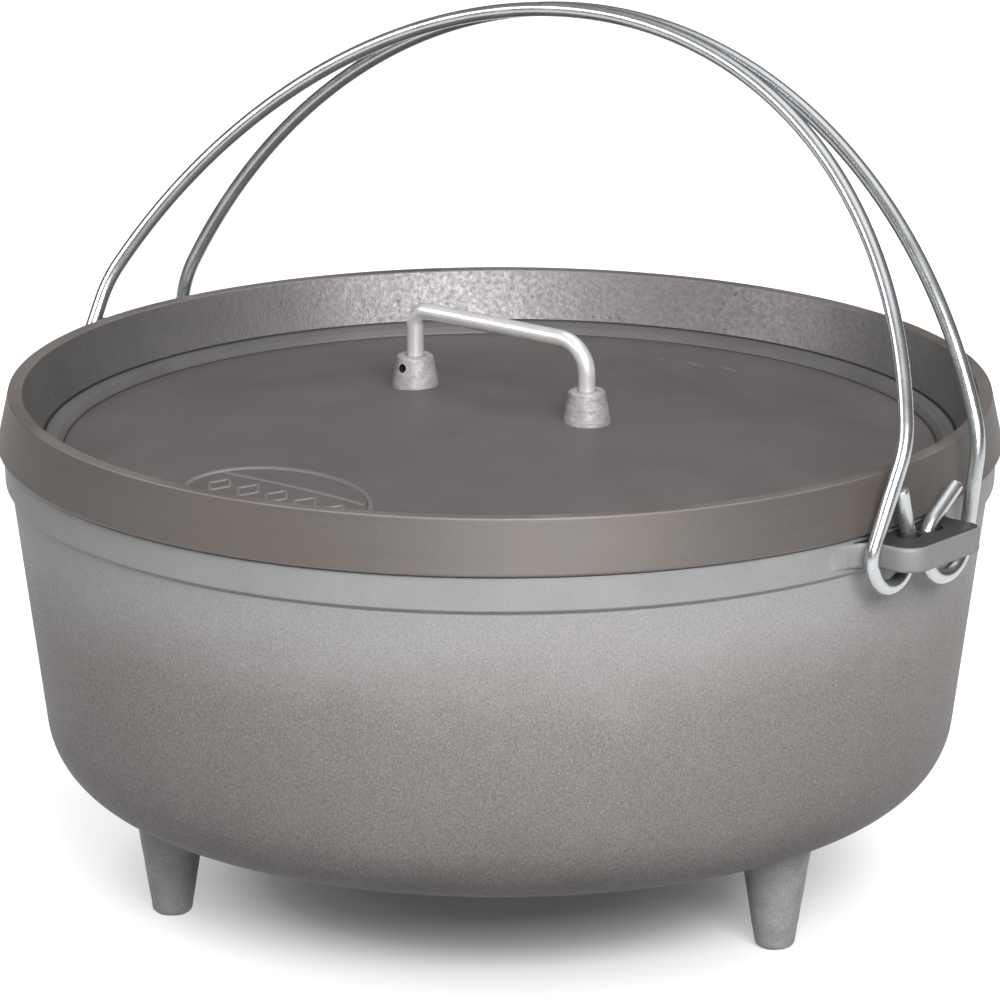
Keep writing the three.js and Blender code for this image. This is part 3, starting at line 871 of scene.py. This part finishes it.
def ear_mesh(pot):
    """The right ear: a thick plate with rounded edges that runs into the band."""
    reach, half = POT_BOX[HIGH].x, pot.ear_half_width
    soft, sharp = 8 * MM, 5.8 * MM
    side = [
        Vector((EAR_ROOT, -EAR_SPREAD)),
        *bent(
            Vector((163.4 * MM, -EAR_SPREAD)), Vector((166.2 * MM, -half - 1.1 * MM)),
            Vector((172 * MM, -half)),
        ),
    ]
    front = arc_points((reach - soft, soft - half), soft, -math.pi / 2, 0, 10)
    rear = arc_points((reach - sharp, half - sharp), sharp, 0, math.pi / 2, 10)
    plan = side + front + rear + [Vector((x, -y)) for x, y in reversed(side)]
    work = bmesh.new()
    base = [work.verts.new((x, y, EAR_TOP - pot.ear_thickness)) for x, y in plan]
    lifted = bmesh.ops.extrude_face_region(work, geom=[work.faces.new(base)])["geom"]
    verts = [item for item in lifted if isinstance(item, bmesh.types.BMVert)]
    bmesh.ops.translate(work, verts=verts, vec=(0, 0, pot.ear_thickness))
    bmesh.ops.recalc_face_normals(work, faces=work.faces)
    rims = [
        edge for edge in work.edges
        if edge.calc_face_angle(0) > math.radians(60)
        and min(vertex.co.x for vertex in edge.verts) > EAR_ROOT + 0.2 * MM
        and abs(edge.verts[0].co.z - edge.verts[1].co.z) < 1e-6
    ]
    bmesh.ops.bevel(
        work, geom=rims, offset=1.3 * MM, offset_type="OFFSET", segments=4, profile=0.5,
        affect="EDGES",
    )
    return outward(as_mesh(work, "ear"))


def ear_holes(pot, wire):
    """Cutters for the two holes in each ear that the eyes hang in."""
    tools = []
    for bail in BAILS.values():
        hinge = JOINTS[bail["joint"]]["pos_m"]
        outer = bail["eye"] + wire
        inner = math.sqrt((bail["eye"] - wire) ** 2 - (EAR_TOP - hinge[2]) ** 2)
        y = hinge[1] - bail["outwards"] * (outer + inner) / 2
        radius = (outer - inner) / 2 + EYE_CLEARANCE
        for x in (-BAIL_HALF_SPAN, BAIL_HALF_SPAN):
            low, high = EAR_TOP - pot.ear_thickness - 2 * MM, EAR_TOP + 2 * MM
            tools.append(bar_mesh(radius, (x, y, low), (x, y, high), 32))
    return tools


def pot_zones(pot):
    """Chooses a face's finish: wall, band, inside, ear top with painted shade, or ear edge."""
    wall, band, inside, ear_top_shade, ear_edge = range(5)

    def zone(face):
        centre, normal = face.center, face.normal
        radius = math.hypot(centre.x, centre.y)
        inward = normal.x * centre.x + normal.y * centre.y < -1e-6
        if radius > pot.band_radius + 0.4 * MM:
            within = (
                abs(centre.y) < pot.ear_half_width - 3 * MM
                and abs(centre.x) < POT_BOX[HIGH].x - 4 * MM
            )
            # Ear tops take the near black painted shade; the sides keep the ear edge colour.
            return ear_top_shade if within or normal.z > 0.9 else ear_edge
        if centre.z > pot.wall_top_height + 0.2 * MM and radius > pot.mouth_radius + 1 * MM:
            return band
        if inward and centre.z > POT_BOX[LOW].z + 1 * MM:
            return inside
        return inside if normal.z > 0.5 and radius < pot.mouth_radius else wall

    return zone


class OVEN_OT_pot(bpy.types.Operator):
    """Build the pot's casting with its band and ears"""

    bl_idname = "oven.pot"
    bl_label = "Build Pot"

    def execute(self, context):
        pot = context.scene.oven_pot
        finishes = [
            blasted_wall(pot),
            blasted_band(pot),
            smooth_casting("pot_inside", pot.inside_colour, 0.12),
            # Painted shade for the ear tops.
            smooth_casting("ear_top_shade", pot.ear_top_shade_colour, 0.12),
            smooth_casting("ear_edge", pot.ear_edge_colour, 0.14),
        ]
        ear = ear_mesh(pot)
        left = ear.copy()
        left.transform(Matrix.Rotation(math.pi, 4, "Z"))
        shell = turned(pot_outline(pot), finishes[0], ROUND_STEPS)
        shell = carved(shell, "UNION", [ear, left])
        low = POT_BOX[LOW].z - 2 * MM
        high = POT_BOX[LOW].z + pot.floor_thickness + 2 * MM
        cutters = ear_holes(pot, context.scene.oven_bails.wire_radius)
        for node in LEGS:
            x, y, _ = middle_of(node)
            cutters.append(bar_mesh(STEM_BORE, (x, y, low), (x, y, high)))
        piece(
            "pot_casting", carved(shell, "DIFFERENCE", cutters), "oven", ["pot"],
            finishes, pot_zones(pot), CRISP_RINGS,
        )
        return {"FINISHED"}


class OVEN_OT_legs(bpy.types.Operator):
    """Build the three cast legs"""

    bl_idname = "oven.legs"
    bl_label = "Build Legs"

    def execute(self, context):
        scene = context.scene
        raw = raw_casting("leg_casting", scene.oven_legs.cast_colour, 0.12)
        leg = turned(leg_outline(scene.oven_legs, scene.oven_pot), raw, LEG_STEPS)
        leg = roughened(leg, 0.12 * MM, 3.2 * MM, 3)
        legs = through_tree(
            leg, "ring", raw, Count=len(LEGS), Ring_Radius=middle_of("leg_right").x,
        )
        piece("pot_legs", legs, "oven", LEGS)
        return {"FINISHED"}


# ---- Lid ----

MEDALLION_Y = -114 * MM
BOSSES = {"lid_boss_left": ("handle_pin_left", 5), "lid_boss_right": ("handle_pin_right", 8)}


def on_dome(lid, x, y, lift):
    return Vector((x, y, dome_height(lid, math.hypot(x, y)) + lift))


def dome_line(lid, corners, lift, step=1.2 * MM):
    """A line laid on the dome through the given corners."""
    points = []
    for start, end in zip(corners, corners[1:]):
        parts = max(1, math.ceil(math.dist(start, end) / step))
        for i in range(parts):
            x, y = (a + (b - a) * i / parts for a, b in zip(start, end))
            points.append(on_dome(lid, x, y, lift))
    points.append(on_dome(lid, *corners[-1], lift))
    return points


def medallion_lines(lid):
    """A plain oval, then two rules and a row of lozenges inside it."""
    wide, deep, lift = lid.medallion_half_width, lid.medallion_half_depth, -0.45 * MM
    steps = 120
    angles = [math.tau * i / steps for i in range(steps)]
    oval = [
        on_dome(lid, wide * math.cos(a), MEDALLION_Y + deep * math.sin(a), lift) for a in angles
    ]
    lines = []
    for rise in (-0.42, 0.42):
        half = wide * 0.93 * math.sqrt(1 - rise ** 2)
        y = MEDALLION_Y + rise * deep
        lines.append((dome_line(lid, [(-half, y), (half, y)], lift), False))
    half_x, half_y = wide * 0.12, deep * 0.24
    for i in range(-2, 3):
        x, y = i * wide * 0.34, MEDALLION_Y
        corners = [(x - half_x, y), (x, y + half_y), (x + half_x, y), (x, y - half_y)]
        lines.append((dome_line(lid, [*corners, corners[0]], lift)[:-1], True))
    return [(oval, True)], lines


def tick_lines(lid):
    """Three short raised ticks at the back of the disc."""
    ticks = []
    for place in ((-5, 95, 1.6), (7, 99, 5), (18, 104, 3.4)):
        x, y, half = (value * MM for value in place)
        ends = [(x - half, y + 0.3 * half), (x + half, y - 0.3 * half)]
        ticks.append((dome_line(lid, ends, -0.2 * MM), False))
    return ticks


def lid_zones(lid):
    """Chooses a face's finish: disc, rim wall, skirt, ring, painted groove shade or painted lip
    highlight.
    """
    disc, rim, skirt, ring, groove_shade, lit_lip = range(6)
    top, lip_inner = LID_BOX[HIGH].z, LID_BOX[HIGH].x - 8.6 * MM
    groove, rim_start = RIM_FOOT - 0.25 * MM, RIM_FOOT + 0.4 * MM

    def zone(face):
        z, radius = face.center.z, math.hypot(face.center.x, face.center.y)
        # Painted highlight: the rim's flat top gets a lighter copy of the skirt's finish, standing
        # in for the light it catches.
        if z > top - 0.4 * MM and lip_inner - 0.3 * MM < radius < LID_OUTER + 0.2 * MM:
            return lit_lip
        if radius > LID_OUTER - 0.1 * MM or (z > top - 0.5 * MM and radius > lip_inner - 1 * MM):
            return skirt
        if face.normal.z <= 0.05:
            return disc
        # Painted shade: thin rings at the groove by the rim's foot and at the disc's edge get a
        # near black finish, standing in for shade in those grooves.
        if abs(radius - groove) < 0.55 * MM or abs(radius - lid.disc_radius) < 0.35 * MM:
            return groove_shade
        if radius > rim_start:
            return rim
        return ring if radius > lid.disc_radius else disc

    return zone


class OVEN_OT_lid(bpy.types.Operator):
    """Build the lid's casting, with a plain raised medallion and ticks"""

    bl_idname = "oven.lid"
    bl_label = "Build Lid"

    def execute(self, context):
        lid, pot = context.scene.oven_lid, context.scene.oven_pot
        tint = [c * part for c, part in zip(lid.skirt_colour, (1.08, 0.98, 0.90))]
        disc = smooth_casting("lid_disc", lid.disc_colour, 0.10)
        finishes = [
            disc,
            hammered_casting("lid_rim_wall", lid.rim_colour),
            turned_metal("lid_skirt", lid.skirt_colour, tint),
            smooth_casting("lid_ring", scaled(lid.rim_colour, 0.66), 0.14),
            # Painted shade for the grooves: a near black copy of the disc's colour.
            smooth_casting("lid_groove_shade", scaled(lid.disc_colour, 0.3), 0.14),
            # Painted highlight: the skirt's turned finish made lighter for the lip.
            turned_metal("lid_lip_highlight", scaled(lid.skirt_colour, 1.7), tint),
        ]
        cutters = []
        for node in BOSSES:
            x = middle_of(node).x
            z = dome_height(lid, abs(x))
            cutters.append(bar_mesh(3.3 * MM, (x, 0, z - 9 * MM), (x, 0, z + 3 * MM)))
        shell = turned(lid_outline(lid, pot), disc, ROUND_STEPS)
        piece(
            "lid_casting", carved(shell, "DIFFERENCE", cutters), "lid_assembly", ["lid"],
            finishes, lid_zones(lid), CRISP_RINGS,
        )
        border, marks = medallion_lines(lid)
        raised = joined([
            through_tree(line_mesh(lines), "wire", disc, Wire_Radius=radius * MM, Sides=sides)
            for lines, radius, sides in (
                (border, 1.15, 14), (marks, 0.85, 12), (tick_lines(lid), 0.6, 10),
            )
        ])
        # Painted highlight: the raised marks get a lighter copy of the disc's finish, standing in
        # for the light their ridges catch.
        marks_highlight_finish = smooth_casting("lid_raised_marks_highlight", scaled(lid.disc_colour, 1.4), 0.10)
        piece("lid_medallion", raised, "lid_assembly", [], [marks_highlight_finish])
        return {"FINISHED"}


# ---- Lid handle ----

BORE_RADIUS = 1.5 * MM  # of the hole across a boss for its pin


def handle_path(handle):
    """The middle of the rod, from the foot of the left post to the foot of the right one."""
    low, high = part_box("lid_handle")
    radius = handle.rod_radius
    left_x, right_x, bar_z = low.x + radius, high.x - radius, high.z - radius
    left, right = handle.left_bend, handle.right_bend
    flat = [
        Vector((left_x, low.z)),
        *arc_points((left_x + left, bar_z - left), left, math.pi, math.pi / 2, 12),
        *arc_points((right_x - right, bar_z - right), right, math.pi / 2, 0, 16),
        Vector((right_x, low.z)),
    ]
    return [Vector((x, 0, z)) for x, z in subdivided(flat, 1.6 * MM)]


class OVEN_OT_handle(bpy.types.Operator):
    """Build the lid's handle, its two cast bosses and its pins"""

    bl_idname = "oven.handle"
    bl_label = "Build Handle"

    def execute(self, context):
        scene = context.scene
        lid, handle = scene.oven_lid, scene.oven_handle
        raw = raw_casting("boss_casting", handle.boss_colour, 0.6)
        rod_finish, pin_shade_finish = blasted_rod(handle), pin_steel_painted_shade(scene.oven_bails)
        for node, (pin, seed) in BOSSES.items():
            x, top = middle_of(node).x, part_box(node)[HIGH].z
            boss = turned(boss_outline(lid, abs(x)), raw, LEG_STEPS)
            boss = roughened(boss, 0.16 * MM, 1.9 * MM, seed)
            boss.transform(Matrix.Translation((x, 0, 0)))
            z = middle_of(pin).z
            far, near = sorted((corner.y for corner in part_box(pin)), key=abs)
            way = math.copysign(1.0, near)
            bore = bar_mesh(
                BORE_RADIUS, (x, far - 0.3 * MM * way, z), (x, near + 6 * MM * way, z),
            )
            socket = bar_mesh(
                handle.rod_radius + FIT_GAP, (x, 0, z - 3.9 * MM), (x, 0, top + 3 * MM), 40,
            )
            # Painted shade: the faces cut for the bore and the socket take the near black pin
            # finish, so the holes read as shade.
            piece(
                node + "_casting", carved(boss, "DIFFERENCE", [bore, socket]), "lid_assembly",
                [node], [raw, pin_shade_finish],
                lambda face: 0 if face.material_index else 1, CRISP_BOSS,
            )
            # The CAD pins take the same near black finish, as painted shade in the bores.
            materials = frame["nodes"][pin].data.materials
            materials.clear()
            materials.append(pin_shade_finish)
        rod = through_tree(
            line_mesh([(handle_path(handle), False)]), "wire", rod_finish,
            Wire_Radius=handle.rod_radius, Sides=40,
        )
        piece("lid_handle_rod", rod, "lid_assembly", ["lid_handle"])
        return {"FINISHED"}


# ---- Bails ----

EYE_OVERRUN = math.radians(44)  # how far past half a turn an eye is bent
END_EASING = [(0.0, 0.72), (0.25 * MM, 0.9), (0.7 * MM, 1.0)]  # distance from an end, thickness


def bail_end(bail, wire):
    """One end of a bail in its own plane, as (across, up) from the hinge line: stub, eye, leg."""
    ring = arc_points((0, 0), bail["eye"], -(math.pi + EYE_OVERRUN), 0, 44)
    stub_way = Vector((math.sin(EYE_OVERRUN), math.cos(EYE_OVERRUN)))
    stub_top = ring[0] + stub_way * bail["stub"]
    leg_top = Vector((ring[-1].x, bail["leg"] - wire.kink_length))
    return [(bail["outwards"] * u, v) for u, v in [stub_top, *ring, leg_top]]


def bail_path(bail, wire):
    """The middle of a bail's wire in its own frame, from the right stub to the left one."""
    across = bail["outwards"] * bail["eye"]
    rise = bail["crown"] - bail["leg"]
    arch_radius = (BAIL_HALF_SPAN ** 2 + rise ** 2) / (2 * rise)
    centre_z = bail["crown"] - arch_radius
    spring = math.asin((bail["leg"] - centre_z) / arch_radius)
    start = spring + wire.kink_length / arch_radius
    arch = arc_points((0, centre_z), arch_radius, start, math.pi - start, 150)
    arch_line = [Vector((x, across, z)) for x, z in arch]
    end = [Vector((BAIL_HALF_SPAN, u, v)) for u, v in bail_end(bail, wire)]
    kink = bent(end[-1], Vector((BAIL_HALF_SPAN, across, bail["leg"])), arch_line[0])
    half = end + kink[1:-1]
    return half + arch_line + [Vector((-x, y, z)) for x, y, z in reversed(half)]


def rounded_ends(points):
    """Adds points close to both ends, and gives each point's thickness, so the ends are eased."""
    start_way = (points[1] - points[0]).normalized()
    end_way = (points[-2] - points[-1]).normalized()
    both = [(points[0] + start_way * inset, thick) for inset, thick in END_EASING]
    both += [(point, 1.0) for point in points[1:-1]]
    both += [(points[-1] + end_way * inset, thick) for inset, thick in reversed(END_EASING)]
    return zip(*both)


class OVEN_OT_bails(bpy.types.Operator):
    """Build the two wire bails"""

    bl_idname = "oven.bails"
    bl_label = "Build Bails"

    def execute(self, context):
        wire = context.scene.oven_bails
        plating = plated_wire(wire)
        for name, bail in BAILS.items():
            points, thickness = rounded_ends(subdivided(bail_path(bail, wire), 2.2 * MM))
            mesh = through_tree(
                line_mesh([(points, False)], thickness), "wire", plating,
                Wire_Radius=wire.wire_radius, Sides=28,
            )
            lean = Matrix.Rotation(-bail["lean"], 4, "X")
            mesh.transform(Matrix.Translation(JOINTS[bail["joint"]]["pos_m"]) @ lean)
            piece(name, mesh, bail["body"], [bail["node"]])
        return {"FINISHED"}


# ---- Stage ----

SKY = [(0.0, 0.24), (0.42, 0.14), (0.5, 0.07), (0.62, 0.08), (0.80, 0.24), (1.0, 0.55)]
# Painted shadow: the floor's glow is weakest within about a tenth of a metre of the pot, which
# paints a soft contact shadow under it.
PAINTED_SHADOW_GLOW = [(0.018, 0.06), (0.030, 0.12), (0.040, 0.40), (0.055, 0.72), (0.12, 0.85), (0.9, 0.9)]
GLOW_SCALE = 0.4  # a metre along the floor, as a share of the glow's ramp
FLOOR_HALF = 9.0
LIGHT_TARGET = (0, 0, 0.1)
LIGHTS = {  # place, size, share of the key's power, rays it is kept from
    "key_light": ((1.93, -1.55, 1.6), (1.7, 1.0), 1.0, None),
    "top_light": ((0.1, 0.2, 2.6), (2.4, 2.0), 0.16, None),
    "sheen_light": ((-1.0, -1.5, 1.25), (1.3, 0.6), 0.16, "visible_diffuse"),
    "back_light": ((-1.4, 1.8, 1.35), (1.4, 0.8), 0.16, "visible_glossy"),
}
CAMERA_PLACE = (1.25194, -1.52413, 0.69407)
CAMERA_AIM = (-0.610465, 0.743193, -0.273856)
CAMERA_LENS, SENSOR_WIDTH = 218.3, 36.0


def facing(way):
    """The rotation that turns a light's or a camera's front along the given way."""
    return Vector(way).to_track_quat("-Z", "Y").to_euler()


def area_light(name, place, size, power):
    light = bpy.data.lights.new(name, "AREA")
    light.shape, light.size, light.size_y = "RECTANGLE", *size
    light.energy = power
    lamp = added(name, light)
    lamp.location = place
    lamp.rotation_euler = facing(Vector(LIGHT_TARGET) - Vector(place))
    lamp.visible_camera = False
    return lamp


def soft_sky(strength):
    """Soft light from all round: bright overhead, darker towards the horizon."""
    world = bpy.data.worlds.new("soft_sky")
    bpy.context.scene.world = world
    world.use_nodes = True
    graph = Graph(world.node_tree)
    way = graph.node("ShaderNodeTexCoord").outputs["Generated"]
    height = graph.node("ShaderNodeSeparateXYZ", n0=way).outputs["Z"]
    level = graph.node("ShaderNodeMapRange", From_Min=-1.0, Value=height).outputs["Result"]
    shades = graph.ramp(level, [(place, (grey, grey, grey * 1.01)) for place, grey in SKY])
    background = graph.nodes["Background"]
    graph.feed(background.inputs["Color"], shades)
    graph.feed(background.inputs["Strength"], strength)


def floor_finish(stage):
    """Pale matt paper with a faint tooth, glowing more the farther it is from the pot; the weak
    glow near the pot paints its soft contact shadow.
    """
    finish = Finish("studio_paper_painted_shadow")
    tooth = finish.grain(1.5 * MM, detail=2.0)
    tone = finish.mottled(stage.floor_colour, 0.5, tooth, 0.99, 1.0)
    finish.bump((tooth, 0.01))
    x, y, _ = finish.axes()
    away = finish.maths("MULTIPLY", finish.off_axis(x, y), GLOW_SCALE)
    finish.feed(finish.shader.inputs["Emission Color"], (1.0, 1.0, 1.0, 1.0))
    finish.feed(finish.shader.inputs["Emission Strength"], finish.ramp(away, PAINTED_SHADOW_GLOW))
    return finish.done(tone, 0.0, 0.9, 0.1)


class OVEN_OT_stage(bpy.types.Operator):
    """Build the floor, the lights and the camera"""

    bl_idname = "oven.stage"
    bl_label = "Build Stage"

    def execute(self, context):
        scene = context.scene
        stage = scene.oven_stage
        soft_sky(stage.sky_strength)
        work = bmesh.new()
        bmesh.ops.create_grid(work, x_segments=4, y_segments=4, size=FLOOR_HALF)
        floor = added("studio_floor", as_mesh(work, "studio_floor"))
        floor.data.materials.append(floor_finish(stage))
        floor.visible_diffuse = False
        for name, (place, size, part, kept_from) in LIGHTS.items():
            lamp = area_light(name, place, size, stage.key_power * part)
            if kept_from:
                setattr(lamp, kept_from, False)
        camera = bpy.data.cameras.new("camera")
        camera.lens, camera.sensor_width = CAMERA_LENS, SENSOR_WIDTH
        camera.clip_start, camera.clip_end = 0.05, 60.0
        scene.camera = added("camera", camera)
        scene.camera.location = CAMERA_PLACE
        scene.camera.rotation_euler = facing(CAMERA_AIM)
        scene.view_settings.view_transform = "Standard"
        return {"FINISHED"}


# ---- Add-on ----


class OVEN_PT_panel(bpy.types.Panel):
    bl_idname = "OVEN_PT_panel"
    bl_label = "Dutch Oven"
    bl_space_type = "VIEW_3D"
    bl_region_type = "UI"
    bl_category = "Dutch Oven"

    def draw(self, context):
        for operator in OPERATORS:
            self.layout.operator(operator.bl_idname)
        for name in SETTINGS:
            box = self.layout.box()
            settings = getattr(context.scene, name)
            for key in settings.bl_rna.properties.keys():
                if key not in {"rna_type", "name"}:
                    box.prop(settings, key)


OPERATORS = (OVEN_OT_stage, OVEN_OT_pot, OVEN_OT_legs, OVEN_OT_lid, OVEN_OT_handle, OVEN_OT_bails)
CLASSES = (*SETTINGS.values(), *OPERATORS, OVEN_PT_panel)


def register():
    for cls in CLASSES:
        bpy.utils.register_class(cls)
    for name, settings in SETTINGS.items():
        setattr(bpy.types.Scene, name, bpy.props.PointerProperty(type=settings))


def unregister():
    for name in SETTINGS:
        delattr(bpy.types.Scene, name)
    for cls in reversed(CLASSES):
        bpy.utils.unregister_class(cls)


def main():
    register()
    bpy.ops.oven.stage()
    bpy.ops.oven.pot()
    bpy.ops.oven.legs()
    bpy.ops.oven.lid()
    bpy.ops.oven.handle()
    bpy.ops.oven.bails()


if __name__ == "__main__":
    main()
